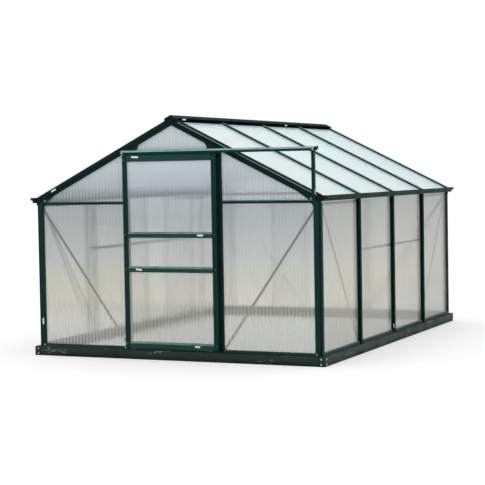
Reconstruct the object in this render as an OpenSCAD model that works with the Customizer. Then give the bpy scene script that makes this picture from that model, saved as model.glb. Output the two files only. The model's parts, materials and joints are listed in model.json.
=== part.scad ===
// Polycarbonate greenhouse with one sliding door, three panes wide and four bays deep.
// Millimetres, +Z up. The origin is on the ground under the middle of the base.
// The front gable, with the door, faces -Y, and the door slides open towards +X.

/* [Overall size] */
// Width over the outer faces of the corner posts
width = 2440; // [2420:10:3000]
// Depth over the outer faces of the corner posts
depth = 3320; // [2400:10:4400]
// Bays along each side wall
side_bays = 4; // [3:1:5]
// Height of the underside of the eave rails above the ground
eave_h = 1207; // [1100:1:1500]
// Pitch of the roof, in degrees
roof_pitch = 26.5; // [24:0.5:30]

/* [Base rails] */
// Height of the folded steel base
base_h = 73; // [50:1:120]
// How far the base stands out in front of the posts
base_out = 28; // [28:1:40]
// Width of the top ledge of the base
base_ledge = 78; // [70:1:110]
// Width of the bottom flange of the base
base_flange = 34; // [28:1:50]
// Thickness of the base steel
base_t = 2; // [1:0.5:3]
// Diameter of the anchor holes in the bottom flange
anchor_d = 10; // [6:1:14]
// Distance of the anchor holes from the outer faces of the posts
anchor_in = 120; // [80:10:400]

/* [Extruded profiles] */
// Depth of every glazing profile, from its outer face to its inner face
profile_d = 24; // [22:1:32]
// How far the sheets lie behind the outer faces of the profiles
face_d = 14; // [10:1:15]
// Depth of the glazing grooves
groove_deep = 8; // [5:1:9]
// Width of studs and roof bars
bar_w = 34; // [28:1:44]
// How far the side studs stand out from the wall
stud_proud = 12; // [4:1:20]
// Height of the eave rails
rail_h = 24; // [22:1:30]
// Height of the sloping lip along the top of the eave rails
rail_lip_h = 10; // [4:1:11]
// How far the lip of the eave rails falls back
rail_lip_d = 7; // [2:1:8]
// Height of the sill profiles
sill_h = 22; // [16:1:30]
// Height of the threshold in the doorway
threshold_h = 14; // [8:1:18]
// Width of the slope along the front of the threshold
threshold_slope = 6; // [2:1:8]
// Front width of the corner posts and gable rafters
post_w = 58; // [50:1:70]
// Side width of the corner posts and gable rafters
post_side = 40; // [36:1:50]
// Width of the rebate along the outer corner of posts and rafters
rebate_w = 18; // [10:1:22]
// Depth of the rebate along the outer corner of posts and rafters
rebate_d = 14; // [6:1:15]
// Width of the drill line along the outer face of a profile
line_w = 6; // [3:1:8]
// Depth of the drill line
line_d = 1.5; // [0.5:0.5:3]
// Width of the bolt slot along the inner face of a profile
bolt_slot_w = 8; // [5:1:9]
// Depth of the bolt slot
bolt_slot_d = 6; // [3:1:7]

/* [Polycarbonate sheets] */
// Thickness of the twin-wall sheets
sheet_t = 6; // [4:1:8]
// Gap between a sheet and each side of its groove
sheet_gap = 0.3; // [0.1:0.1:0.6]
// Gap between the edge of a sheet and the bottom of its groove
edge_gap = 1; // [0.5:0.5:2]

/* [Ridge and gutters] */
// Half width of the ridge
ridge_half = 52; // [45:1:70]
// Height of the ridge top above the plane of the roof bars
ridge_rise = 13; // [8:1:20]
// Half width of the bolt channel under the ridge
ridge_web_half = 20; // [14:1:30]
// Depth of the bolt channel under the ridge
ridge_web_d = 18; // [10:1:30]
// How far the end caps stand out in front of the gables
cap_out = 6; // [3:1:12]
// How far the gutter stands out from the side wall
gutter_w = 53; // [45:1:70]
// Width of the lower part of the gutter
gutter_low_w = 35; // [28:1:42]
// Height of the lower and of the upper part of the gutter, each
gutter_step = 21; // [16:1:28]
// Height of the side eaves and of the gutter floor above the underside of the eave rails
gutter_lift = 14; // [8:1:18]
// Wall thickness of the gutter
gutter_t = 2; // [1.5:0.5:3]
// How far roof bars and roof sheets reach out over the gutter
roof_out = 8; // [4:1:14]

/* [Gussets and braces] */
// Thickness of the corner gussets
gusset_t = 3; // [2:0.5:4]
// Setback of the gussets behind the outer faces of the profiles
gusset_set = 3; // [1:0.5:5]
// Length of the upper eave gussets along the rail
gusset_rail = 38; // [25:1:60]
// Length of the upper eave gussets along the rafter, measured level
gusset_rafter = 122; // [80:1:160]
// Width of the lower eave gussets
gusset_low_w = 18; // [12:1:30]
// Height of the lower eave gussets
gusset_low_h = 34; // [25:1:50]
// Width of the lower eave gussets at the bend of their free edge
gusset_bend_w = 6; // [3:1:10]
// Drop of that bend below the eave rail
gusset_bend_h = 20; // [10:1:22]
// Length of the gussets over the door along the door head
gusset_head = 78; // [60:1:130]
// Length of the gussets over the door along the rafter, measured level
gusset_head_rafter = 98; // [80:1:160]
// Width of the flat steel braces
brace_w = 20; // [14:1:30]
// Thickness of the flat steel braces
brace_t = 2; // [1:0.5:3]
// Drop of the top ends of the gable braces below the eave rails
brace_drop = 30; // [20:1:90]
// Distance of the top ends of the gable braces from the outer faces of the posts
brace_in = 45; // [30:1:50]
// Overlap of the lower ends of the gable braces on the jambs
brace_lap = 3; // [2:1:20]
// Height of the strap across the middle bays
mid_strap_z = 812; // [600:1:950]
// Drop of the top straps below the side eaves
top_strap_drop = 22; // [12:1:40]

/* [Door] */
// Clear width of the doorway
doorway_w = 760; // [640:10:760]
// Width of the door jambs and of the back gable studs
jamb_w = 37; // [30:1:46]
// Height of the door head
head_h = 44; // [30:1:60]
// Gap between the door head and the rafters at the jambs
head_gap = 2.5; // [1:0.5:8]
// Overlap of the closed door over the left jamb
lap_left = 38; // [20:1:45]
// Overlap of the closed door over the right jamb
lap_right = 5; // [0:1:20]
// Thickness of the door
door_t = 20; // [16:1:22]
// Gap between the door and the front of the frame
door_gap = 5; // [5:0.5:6]
// Height of the underside of the door above the base
door_lift = 12; // [11:1:20]
// Width of the door stiles
stile_w = 40; // [30:1:55]
// Height of the top rail of the door
top_rail_h = 50; // [36:1:70]
// Height of the bottom rail of the door
bottom_rail_h = 54; // [36:1:80]
// Height of each middle rail of the door
mid_rail_h = 45; // [30:1:60]
// Height of the sloping lip along the top of the lower door rails
door_lip_h = 15; // [5:1:25]
// How far the lip of the door rails falls back
door_lip_d = 4.5; // [1:0.5:4.5]
// Height of the lower middle rail above the ground
mid_rail_low = 680; // [400:1:760]
// Height of the upper middle rail above the ground
mid_rail_high = 947; // [850:1:1200]

/* [Sliding gear] */
// Height of the track
track_h = 32; // [30:1:36]
// Depth of the track, front to back
track_d = 28; // [27:1:28]
// Wall thickness of the track
track_t = 2; // [1.5:0.5:2.5]
// Width of the sloping hood along the front of the track
hood_w = 11; // [6:1:12]
// Height of the sloping hood
hood_h = 14; // [8:1:14]
// How far the track stands above the door head
track_rise = 5; // [2:1:8]
// Gap between the top of the door and the track
hang_gap = 5; // [5:0.5:8]
// How far the track runs past the left edge of the closed door
track_past = 12; // [6:1:20]
// Distance of the right end of the track from the outer face of the post
track_inset = 36; // [30:1:60]
// Width of the slot along the bottom of the track
track_slot = 12; // [12:1:13]
// Width of the upright under the end of the track
track_post_w = 32; // [20:1:34]
// Wall thickness of the upright
track_post_t = 3; // [2:0.5:4]
// Diameter of the door wheels
wheel_d = 12; // [10:1:12]
// Width of a door wheel
wheel_w = 4.5; // [3:0.5:5]
// Diameter of the wheel axle
axle_d = 4; // [3:0.5:5]
// Running gap at the wheels, round the axle and over the track
wheel_gap = 0.3; // [0.2:0.1:0.5]
// Thickness of the hanger plates
hanger_t = 2; // [1.5:0.5:2]
// Width of the hanger plates
hanger_w = 36; // [20:1:60]
// Distance of the hangers and glides from the edges of the door
hanger_in = 70; // [30:1:150]
// Height of the guide rib on the base
guide_h = 7; // [5:1:8]
// Thickness of the guide rib
guide_t = 3; // [2:0.5:4]
// Foot width of the guide rail
guide_foot = 14; // [8:1:20]
// Foot thickness of the guide rail
guide_foot_t = 1; // [0.5:0.5:1.5]
// Gap between the glides and the guide rib, at each side
glide_gap = 2; // [1:0.5:3]
// Height of the glides below the door
glide_h = 8; // [6:0.5:9]
// Length of a glide
glide_len = 40; // [20:1:80]
// Length of the stop caps at the ends of the track
stop_len = 10; // [5:1:16]
// Length of the ear on the stop at the right end of the track
ear_len = 14; // [8:1:40]
// How far the ear rises above the track
ear_rise = 6; // [0:1:12]

/* [Hidden] */
$fn = 48;

// How far a cutting shape reaches past the face that it cuts
cut = 1;
// How far the tallest cutting shapes reach above the roof
over = 200;

// Colours
green = [0.10, 0.27, 0.23];
steel_green = [0.19, 0.22, 0.20];
sheet_grey = [0.72, 0.74, 0.73, 0.55];
zinc = [0.42, 0.43, 0.42];
black = [0.05, 0.05, 0.05];
nylon = [0.80, 0.80, 0.76];

// Half sizes and levels
half_w = width / 2;
half_d = depth / 2;
base_half_w = half_w + base_out;
base_half_d = half_d + base_out;
sill_top = base_h + sill_h;
eave_top = eave_h + rail_h;
side_eave = eave_h + gutter_lift;
groove_w = sheet_t + 2 * sheet_gap;
sheet_d = face_d + sheet_gap;
seat = groove_deep - edge_gap;

// The roof: the outer plane of the bars is set so that the underside of the gable
// rafters meets the top of the eave rails at the inner edge of the corner posts.
slope = tan(roof_pitch);
lean = cos(roof_pitch);
roof_z0 = eave_top - post_w * slope + post_w / lean;
function roof_z(x, d) = roof_z0 + (half_w - abs(x)) * slope - d / lean;
roof_over = roof_z(0, 0) + over;

// Side wall and roof bars, equally spaced over the depth
bay = depth / side_bays;
bar_ys = [for (i = [1 : side_bays - 1]) -half_d + i * bay];
bay_starts = concat([-half_d + post_side], [for (y = bar_ys) y + bar_w / 2]);
bay_ends = concat([for (y = bar_ys) y - bar_w / 2], [half_d - post_side]);

// Front divisions
jamb_in = doorway_w / 2;
jamb_out = jamb_in + jamb_w;
jamb_mid = jamb_in + jamb_w / 2;
post_in = half_w - post_w;
anchor_x = half_w - anchor_in;
head_top = roof_z(jamb_in, post_w) - head_gap;
gable_tip = post_in - gusset_rail / 2;

// Door, hung in front of the frame
door_x0 = -jamb_in - lap_left;
door_x1 = jamb_in + lap_right;
door_bottom = base_h + door_lift;
track_top = head_top + track_rise;
track_bottom = track_top - track_h;
door_top = track_bottom - hang_gap;
door_mid_d = -(door_gap + door_t / 2);
door_groove_d = door_mid_d - groove_w / 2;
track_x0 = door_x0 - track_past;
track_x1 = half_w - track_inset;
hanger_xs = [door_x0 + hanger_in, door_x1 - hanger_in];
wheel_z = track_bottom + track_t + wheel_gap + wheel_d / 2;
wheel_ds = [-track_d + track_t + wheel_gap, -track_t - wheel_gap - wheel_w];
rail_zs = [door_bottom, mid_rail_low, mid_rail_high, door_top - top_rail_h];
rail_hs = [bottom_rail_h, mid_rail_h, mid_rail_h, top_rail_h];

// Floor of the gutter
gutter_z0 = side_eave;

// Braces: from under the eave at the corner posts to the foot of the next upright
brace_top_z = eave_h - brace_drop;
brace_foot_z = sill_top;
side_brace_top = [-half_d + post_side + brace_lap, side_eave + brace_w / 3];
side_brace_foot = [bar_ys[0] - bar_w / 4, sill_top + brace_w / 2];
top_strap_z = side_eave - top_strap_drop;

// Local frames: x runs along the wall, y is the depth in from the outer faces
module on_front() { translate([0, -half_d, 0]) children(); }
module on_back() { mirror([0, 1, 0]) on_front() children(); }
module on_right() { translate([half_w, 0, 0]) rotate([0, 0, 90]) children(); }
module on_left() { mirror([1, 0, 0]) on_right() children(); }
module both_hands() {
    children();
    mirror([1, 0, 0]) children();
}

// An upright of a wall: the profile is given as (along the wall, depth)
module upright(along, z0, z1) {
    translate([along, 0, z0]) linear_extrude(z1 - z0) children();
}

// A level bar of a wall: the profile is given as (up, depth)
module level(from, to, z_mid) {
    translate([to, 0, z_mid]) rotate([0, -90, 0]) linear_extrude(to - from) children();
}

// A flat plate of a wall: the outline is given as (along the wall, up)
module plate(d0, d1) {
    translate([0, d1, 0]) rotate([90, 0, 0]) linear_extrude(d1 - d0) children();
}

// A profile (across, depth) run up the right-hand slope and cut upright at both ends
module up_slope(x_ridge, x_eave) {
    intersection() {
        translate([half_w, 0, roof_z0]) rotate([0, roof_pitch - 90, 0]) rotate([0, 0, 90])
            translate([0, 0, -half_w / 2]) linear_extrude(2 * width) children();
        translate([x_ridge, -depth, 0]) cube([x_eave - x_ridge, 2 * depth, roof_over + width]);
    }
}

// Everything above the plane that lies at depth d under the right-hand slope
module above_slope(d) {
    x1 = half_w + cut;
    plate(-depth, depth)
        polygon([[-cut, roof_z(0, d) + cut * slope], [x1, roof_z(x1, d)], [x1, roof_over],
            [-cut, roof_over]]);
}

// The wedge that makes a sloping lip along the front of the upper edge of a bar
module lip_2d(edge, front, h, d) {
    polygon([[edge - h, front], [edge - h, front - cut], [edge + cut, front - cut],
        [edge + cut, front + d], [edge, front + d]]);
}

// Glazing bar: an H with a sheet groove in each listed edge. Its front can stand proud.
module bar_2d(w, grooves = [-1, 1], proud = 0) {
    difference() {
        translate([-w / 2, -proud]) square([w, profile_d + proud]);
        for (g = grooves)
            translate([g > 0 ? w / 2 - groove_deep : -w / 2 - cut, face_d])
                square([groove_deep + cut, groove_w]);
        translate([-line_w / 2, -proud - cut]) square([line_w, line_d + cut]);
    }
}

// Stud: a glazing bar with a bolt slot along its inner face
module stud_2d(w, proud = 0) {
    difference() {
        bar_2d(w, proud = proud);
        translate([-bolt_slot_w / 2, profile_d - bolt_slot_d])
            square([bolt_slot_w, bolt_slot_d + cut]);
    }
}

// Corner profile of posts and rafters: two legs, a rebate between them outside,
// and a sheet groove in the end of each leg. Drawn from the outer corner inwards.
module corner_2d() {
    difference() {
        union() {
            translate([rebate_w, 0]) square([post_w - rebate_w, profile_d]);
            translate([0, rebate_d]) square([profile_d, post_side - rebate_d]);
        }
        translate([post_w - groove_deep, face_d]) square([groove_deep + cut, groove_w]);
        translate([face_d, post_side - groove_deep]) square([groove_w, groove_deep + cut]);
    }
}

// Base rail: steel folded to a channel that opens inwards, mitred at the corners.
// It runs along x, with its web at the given distance from the middle.
module base_rail(half_len, web) {
    intersection() {
        difference() {
            translate([-half_len, -web, 0]) cube([2 * half_len, base_ledge, base_h]);
            translate([-half_len - cut, -web + base_t, base_t])
                cube([2 * (half_len + cut), base_ledge, base_h - 2 * base_t]);
            translate([-half_len - cut, -web + base_flange, -cut])
                cube([2 * (half_len + cut), base_ledge, 2 * cut + base_t]);
        }
        linear_extrude(base_h)
            polygon([[-half_len, -web], [half_len, -web], [half_len - base_ledge, base_ledge - web],
                [base_ledge - half_len, base_ledge - web]]);
    }
}

module end_base() {
    difference() {
        base_rail(base_half_w, base_half_d);
        for (x = [-anchor_x, anchor_x])
            translate([x, base_flange / 2 - base_half_d, -cut])
                cylinder(d = anchor_d, h = base_t + 2 * cut);
    }
}

module base_front() { color(steel_green) end_base(); }
module base_back() { color(steel_green) mirror([0, 1, 0]) end_base(); }
module side_base() { rotate([0, 0, 90]) base_rail(base_half_d, base_half_w); }
module base_right() { color(steel_green) side_base(); }
module base_left() { color(steel_green) mirror([1, 0, 0]) side_base(); }

// Sills on the base: channels that hold the lower edges of the wall sheets
module sill(from, to) { level(from, to, base_h + sill_h / 2) bar_2d(sill_h, [1]); }

module side_sills() {
    color(green) both_hands() on_right() sill(post_side - half_d, half_d - post_side);
}

// The threshold in the doorway, lower than the sills and sloping at its front
module threshold() {
    level(-jamb_in, jamb_in, base_h + threshold_h / 2)
        difference() {
            translate([-threshold_h / 2, 0]) square([threshold_h, profile_d]);
            lip_2d(threshold_h / 2, 0, threshold_h / 2, threshold_slope);
        }
}

module end_sills() {
    color(green) {
        both_hands() on_front() sill(jamb_out, post_in);
        on_front() threshold();
        on_back() sill(-post_in, post_in);
    }
}

// Corner posts: cut to the slope under the rafters, and level under the gutter beams
module corner_post() {
    difference() {
        translate([half_w, -half_d, base_h]) linear_extrude(eave_top) mirror([1, 0, 0]) corner_2d();
        above_slope(post_w);
        translate([half_w - post_w - cut, profile_d - half_d, side_eave])
            cube([post_w + 2 * cut, post_side, roof_over]);
    }
}

module corner_posts() {
    color(green) both_hands() {
        corner_post();
        mirror([0, 1, 0]) corner_post();
    }
}

// Side studs: the proud front of each stud runs down past the sill and stands on the base
module side_studs() {
    for (y = bar_ys) {
        upright(y, sill_top, side_eave) stud_2d(bar_w, stud_proud);
        upright(y, base_h, sill_top) translate([-bar_w / 2, -stud_proud]) square([bar_w, stud_proud]);
    }
}

module right_studs() { color(green) on_right() side_studs(); }
module left_studs() { color(green) on_left() side_studs(); }

// An upright of the gable that ends under the rafter
module gable_upright(x, z0) {
    difference() {
        on_front() upright(x, z0, roof_z(0, 0)) children();
        above_slope(post_w);
    }
}

module door_jambs() {
    color(green) both_hands() gable_upright(jamb_mid, base_h) bar_2d(jamb_w, [1]);
}

module back_studs() {
    color(green) both_hands() mirror([0, 1, 0]) gable_upright(jamb_mid, sill_top) stud_2d(jamb_w);
}

// Gutter and eave beam in one profile: the beam carries the roof bars and holds the
// wall sheets, and the stepped trough hangs outside it
module eave_beam_2d() {
    difference() {
        polygon([[half_w, side_eave], [half_w, roof_z(half_w, profile_d)],
            [half_w - profile_d, roof_z(half_w - profile_d, profile_d)], [half_w - profile_d, side_eave]]);
        translate([half_w - face_d - groove_w, side_eave - cut]) square([groove_w, groove_deep + cut]);
    }
}

module trough_2d() {
    translate([half_w, gutter_z0]) {
        square([gutter_low_w, gutter_t]);
        translate([gutter_low_w - gutter_t, 0]) square([gutter_t, gutter_step + gutter_t]);
        translate([gutter_low_w - gutter_t, gutter_step])
            square([gutter_w - gutter_low_w + gutter_t, gutter_t]);
        translate([gutter_w - gutter_t, gutter_step]) square([gutter_t, gutter_step]);
    }
}

// The floor of the trough runs on into the beam, so that they are one profile
module gutter() {
    plate(profile_d - half_d, half_d - profile_d) {
        eave_beam_2d();
        translate([half_w - gutter_t, gutter_z0]) square([gutter_low_w, gutter_t]);
    }
    plate(-half_d, half_d) trough_2d();
}

module right_gutter() { color(green) gutter(); }
module left_gutter() { color(green) mirror([1, 0, 0]) gutter(); }

module gutter_cap() {
    plate(-half_d - cap_out, -half_d)
        translate([half_w, gutter_z0]) {
            square([gutter_low_w, 2 * gutter_step]);
            translate([0, gutter_step]) square([gutter_w, gutter_step]);
        }
}

module gutter_end_caps() {
    color(black) both_hands() {
        gutter_cap();
        mirror([0, 1, 0]) gutter_cap();
    }
}

// Ridge: a capping with a sheet groove in each side and a bolt channel underneath
module ridge_half_2d() {
    groove_in = ridge_half - groove_deep;
    web_z = roof_z(ridge_web_half, profile_d) - ridge_web_d;
    polygon([[0, roof_z(0, 0) + ridge_rise], [ridge_half, roof_z(ridge_half, 0) + ridge_rise],
        [ridge_half, roof_z(ridge_half, face_d)], [groove_in, roof_z(groove_in, face_d)],
        [groove_in, roof_z(groove_in, face_d + groove_w)],
        [ridge_half, roof_z(ridge_half, face_d + groove_w)],
        [ridge_half, roof_z(ridge_half, profile_d)], [ridge_web_half, roof_z(ridge_web_half, profile_d)],
        [ridge_web_half, web_z], [bolt_slot_w / 2, web_z], [bolt_slot_w / 2, web_z + bolt_slot_d],
        [0, web_z + bolt_slot_d]]);
}

module ridge_beam() {
    color(green) plate(profile_d - half_d, half_d - profile_d) {
        ridge_half_2d();
        mirror([1, 0]) ridge_half_2d();
    }
}

// The caps close the ends of the ridge and lie on the gable rafters
module ridge_cap() {
    plate(-half_d - cap_out, profile_d - half_d)
        polygon([[0, roof_z(0, 0) + ridge_rise], [ridge_half, roof_z(ridge_half, 0) + ridge_rise],
            [ridge_half, roof_z(ridge_half, rebate_w)], [0, roof_z(0, rebate_w)],
            [-ridge_half, roof_z(ridge_half, rebate_w)],
            [-ridge_half, roof_z(ridge_half, 0) + ridge_rise]]);
}

module ridge_end_caps() {
    color(black) {
        ridge_cap();
        mirror([0, 1, 0]) ridge_cap();
    }
}

// Gable rafters: the corner profile run up the slope. The front legs meet in a mitre
// under the ridge cap, and the top legs stop at the ridge.
module rafter() {
    difference() {
        up_slope(0, half_w) translate([-half_d, 0]) mirror([1, -1, 0]) corner_2d();
        translate([-cut, profile_d - half_d, 0]) cube([ridge_half + cut, post_side, roof_over]);
        intersection() {
            above_slope(rebate_w);
            translate([-cut, -half_d - cut, 0]) cube([ridge_half + cut, post_side, roof_over]);
        }
    }
}

module front_rafters() { color(green) both_hands() rafter(); }
module back_rafters() { color(green) mirror([0, 1, 0]) both_hands() rafter(); }

module roof_bars() {
    up_slope(ridge_half, half_w + roof_out)
        for (y = bar_ys)
            translate([y, 0]) stud_2d(bar_w);
}

module right_roof_bars() { color(green) roof_bars(); }
module left_roof_bars() { color(green) mirror([1, 0, 0]) roof_bars(); }

// Rails of the gables, with a lip that sheds the rain
module eave_rail(from, to) {
    level(from, to, eave_h + rail_h / 2)
        difference() {
            bar_2d(rail_h);
            lip_2d(rail_h / 2, 0, rail_lip_h, rail_lip_d);
        }
}

module front_eave_rails() { color(green) both_hands() on_front() eave_rail(jamb_out, post_in); }

module back_eave_rails() {
    color(green) on_back() {
        both_hands() eave_rail(jamb_out, post_in);
        eave_rail(-jamb_in, jamb_in);
    }
}

module door_head() {
    color(green) on_front() level(-jamb_in, jamb_in, head_top - head_h / 2) bar_2d(head_h, [1]);
}

// Gussets: plates in the corners between rail, post and rafter, with a bent free edge
module eave_gussets_2d() {
    rafter_x = post_in - gusset_rafter;
    polygon([[post_in, eave_top], [rafter_x, roof_z(rafter_x, post_w)], [post_in - gusset_rail, eave_top]]);
    polygon([[post_in, eave_h], [post_in - gusset_low_w, eave_h],
        [post_in - gusset_bend_w, eave_h - gusset_bend_h], [post_in, eave_h - gusset_low_h]]);
}

module head_gusset_2d() {
    head_x = jamb_in - gusset_head;
    rafter_x = jamb_in - gusset_head_rafter;
    rafter_z = roof_z(rafter_x, post_w);
    polygon([[jamb_in, head_top], [jamb_in, roof_z(jamb_in, post_w)], [rafter_x, rafter_z],
        [head_x - gusset_t, (head_top + rafter_z) / 2], [head_x, head_top]]);
}

module front_gussets() {
    color(green) both_hands() on_front() plate(gusset_set, gusset_set + gusset_t) {
        eave_gussets_2d();
        head_gusset_2d();
    }
}

module back_gussets() {
    color(green) both_hands() on_back() plate(gusset_set, gusset_set + gusset_t) eave_gussets_2d();
}

// Flat braces on the inner faces of the profiles
module strip_2d(p, q) {
    run = q - p;
    translate(p) rotate(atan2(run[1], run[0])) translate([0, -brace_w / 2])
        square([norm(run), brace_w]);
}

module on_inner_face() { plate(profile_d, profile_d + brace_t) children(); }

module gable_brace() {
    on_inner_face() strip_2d([half_w - brace_in, brace_top_z], [jamb_out - brace_lap, brace_foot_z]);
}

module front_braces() { color(zinc) both_hands() on_front() gable_brace(); }
module back_braces() { color(zinc) both_hands() on_back() gable_brace(); }

// Side walls: a diagonal in each end bay
module side_braces() {
    color(zinc) both_hands() on_right() on_inner_face()
        for (end = [0, 1])
            mirror([end, 0, 0]) strip_2d(side_brace_top, side_brace_foot);
}

// A top strap passes over the diagonal, so its two ends are set back to the post and the stud
module top_strap() {
    start = profile_d - half_d;
    end = bar_ys[0] + bar_w / 2;
    plate(profile_d + brace_t, profile_d + 2 * brace_t) strip_2d([start, top_strap_z], [end, top_strap_z]);
    on_inner_face() {
        strip_2d([start, top_strap_z], [post_side - half_d, top_strap_z]);
        strip_2d([end - bar_w, top_strap_z], [end, top_strap_z]);
    }
}

// Side walls: a strap under the eave in each end bay, and one strap over the bays between
module side_straps() {
    color(zinc) both_hands() on_right() {
        top_strap();
        mirror([1, 0, 0]) top_strap();
        on_inner_face()
            strip_2d([bar_ys[0] - bar_w / 2, mid_strap_z], [bar_w / 2 - bar_ys[0], mid_strap_z]);
    }
}

// Sheets of the walls, with their edges in the grooves all round
module sheet() { plate(sheet_d, sheet_d + sheet_t) children(); }

module pane_2d(x0, z0, x1, z1) { translate([x0, z0]) square([x1 - x0, z1 - z0]); }

// The lower sheet and the gable sheet beside the doorway
module gable_side_sheets_2d() {
    x0 = jamb_out - seat;
    z0 = eave_top - seat;
    pane_2d(x0, sill_top - seat, post_in + seat, eave_h + seat);
    polygon([[x0, z0], [gable_tip, z0], [gable_tip, roof_z(gable_tip, post_w - seat)],
        [x0, roof_z(x0, post_w - seat)]]);
}

// The middle sheet of a gable, under both rafters
module gable_middle_2d(x1, z0) {
    polygon([[-x1, z0], [x1, z0], [x1, roof_z(x1, post_w - seat)], [0, roof_z(0, post_w - seat)],
        [-x1, roof_z(x1, post_w - seat)]]);
}

module front_panels() {
    color(sheet_grey) on_front() sheet() {
        both_hands() gable_side_sheets_2d();
        gable_middle_2d(jamb_in - edge_gap, head_top - seat);
    }
}

module back_panels() {
    color(sheet_grey) on_back() sheet() {
        both_hands() gable_side_sheets_2d();
        pane_2d(-jamb_in - seat, sill_top - seat, jamb_in + seat, eave_h + seat);
        gable_middle_2d(jamb_in + seat, eave_top - seat);
    }
}

module side_sheets() {
    sheet()
        for (i = [0 : side_bays - 1])
            pane_2d(bay_starts[i] - seat, sill_top - seat, bay_ends[i] + seat, side_eave + seat);
}

module right_wall_panels() { color(sheet_grey) on_right() side_sheets(); }
module left_wall_panels() { color(sheet_grey) on_left() side_sheets(); }

module roof_sheets() {
    up_slope(ridge_half - seat, half_w + roof_out)
        for (i = [0 : side_bays - 1])
            translate([bay_starts[i] - seat, sheet_d])
                square([bay_ends[i] - bay_starts[i] + 2 * seat, sheet_t]);
}

module right_roof_panels() { color(sheet_grey) roof_sheets(); }
module left_roof_panels() { color(sheet_grey) mirror([1, 0, 0]) roof_sheets(); }

// Door track: a hollow rail with a slot underneath and a sloping hood along its front
module track_outline_2d(inset) {
    top = track_h / 2 - inset;
    bottom = inset - track_h / 2;
    front = inset - track_d;
    back = -inset;
    polygon([[bottom, back], [top, back], [top, front + hood_w], [top - hood_h, front], [bottom, front]]);
}

module track_2d() {
    difference() {
        track_outline_2d(0);
        track_outline_2d(track_t);
        translate([-track_h / 2 - cut, -track_d / 2 - track_slot / 2])
            square([track_t + 2 * cut, track_slot]);
    }
}

module on_track(from, to) { on_front() level(from, to, track_top - track_h / 2) children(); }

module door_track() { color(green) on_track(track_x0, track_x1) track_2d(); }

// Stops that close both ends of the track. The right one has an ear that rises outwards.
module track_stops() {
    ear_x = track_x1 + stop_len;
    ear_z = track_bottom + track_h / 2;
    color(black) {
        on_track(track_x0 - stop_len, track_x0) track_outline_2d(0);
        on_track(track_x1, ear_x) track_outline_2d(0);
        on_front() plate(-track_d / 2, 0)
            polygon([[track_x1, track_bottom], [ear_x + ear_len, ear_z - ear_rise],
                [ear_x + ear_len, track_top + ear_rise], [ear_x, ear_z], [track_x1, ear_z]]);
    }
}

// Angle that carries the right end of the track off the front of the rafter
module track_post() {
    x1 = track_x1;
    color(green) on_front() upright(0, eave_top, track_bottom) {
        translate([x1 - track_post_w, -track_post_t]) square([track_post_w, track_post_t]);
        translate([x1 - track_post_t, -track_d]) square([track_post_t, track_d]);
    }
}

// Guide rail for the foot of the door, on the ledge of the base
module door_guide() {
    color(green) on_front() level(track_x0, track_x1, base_h) {
        translate([0, door_mid_d - guide_foot / 2]) square([guide_foot_t, guide_foot]);
        translate([0, door_mid_d - guide_t / 2]) square([guide_h, guide_t]);
    }
}

// Door stiles and rails, grooved for the door sheets
module door_bar_2d(w, grooves) {
    difference() {
        translate([-w / 2, -door_gap - door_t]) square([w, door_t]);
        for (g = grooves)
            translate([g > 0 ? w / 2 - groove_deep : -w / 2 - cut, door_groove_d])
                square([groove_deep + cut, groove_w]);
    }
}

module door_stiles() {
    color(green) on_front() {
        upright(door_x0 + stile_w / 2, door_bottom, door_top) door_bar_2d(stile_w, [1]);
        upright(door_x1 - stile_w / 2, door_bottom, door_top) door_bar_2d(stile_w, [-1]);
    }
}

// The lower rails have a sloping lip along the top
module door_rails() {
    last = len(rail_zs) - 1;
    color(green) on_front()
        for (i = [0 : last])
            level(door_x0 + stile_w, door_x1 - stile_w, rail_zs[i] + rail_hs[i] / 2)
                difference() {
                    door_bar_2d(rail_hs[i], i == 0 ? [1] : i == last ? [-1] : [-1, 1]);
                    if (i < last) lip_2d(rail_hs[i] / 2, -door_gap - door_t, door_lip_h, door_lip_d);
                }
}

module door_panels() {
    color(sheet_grey) on_front() plate(door_mid_d - sheet_t / 2, door_mid_d + sheet_t / 2)
        for (i = [0 : len(rail_zs) - 2])
            pane_2d(door_x0 + stile_w - seat, rail_zs[i] + rail_hs[i] - seat,
                door_x1 - stile_w + seat, rail_zs[i + 1] + seat);
}

// Hangers: a plate up through the slot of the track, with an axle for two wheels
module door_hangers() {
    color(zinc) on_front()
        for (x = hanger_xs) {
            translate([x - hanger_w / 2, -track_d / 2 - hanger_t / 2, door_top])
                cube([hanger_w, hanger_t, wheel_z + wheel_d / 2 - door_top]);
            translate([x, wheel_ds[0], wheel_z]) rotate([-90, 0, 0])
                cylinder(d = axle_d, h = wheel_ds[1] + wheel_w - wheel_ds[0]);
        }
}

module door_wheels() {
    color(nylon) on_front()
        for (x = hanger_xs, d = wheel_ds)
            translate([x, d, wheel_z]) rotate([-90, 0, 0])
                difference() {
                    cylinder(d = wheel_d, h = wheel_w);
                    translate([0, 0, -cut]) cylinder(d = axle_d + 2 * wheel_gap, h = wheel_w + 2 * cut);
                }
}

// Glides under the door that straddle the guide rail
module door_glides() {
    slot = guide_t + 2 * glide_gap;
    color(nylon) on_front()
        for (x = hanger_xs)
            difference() {
                translate([x - glide_len / 2, -door_gap - door_t, door_bottom - glide_h])
                    cube([glide_len, door_t, glide_h]);
                translate([x - glide_len / 2 - cut, door_mid_d - slot / 2, door_bottom - glide_h - cut])
                    cube([glide_len + 2 * cut, slot, glide_h + cut]);
            }
}

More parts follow.
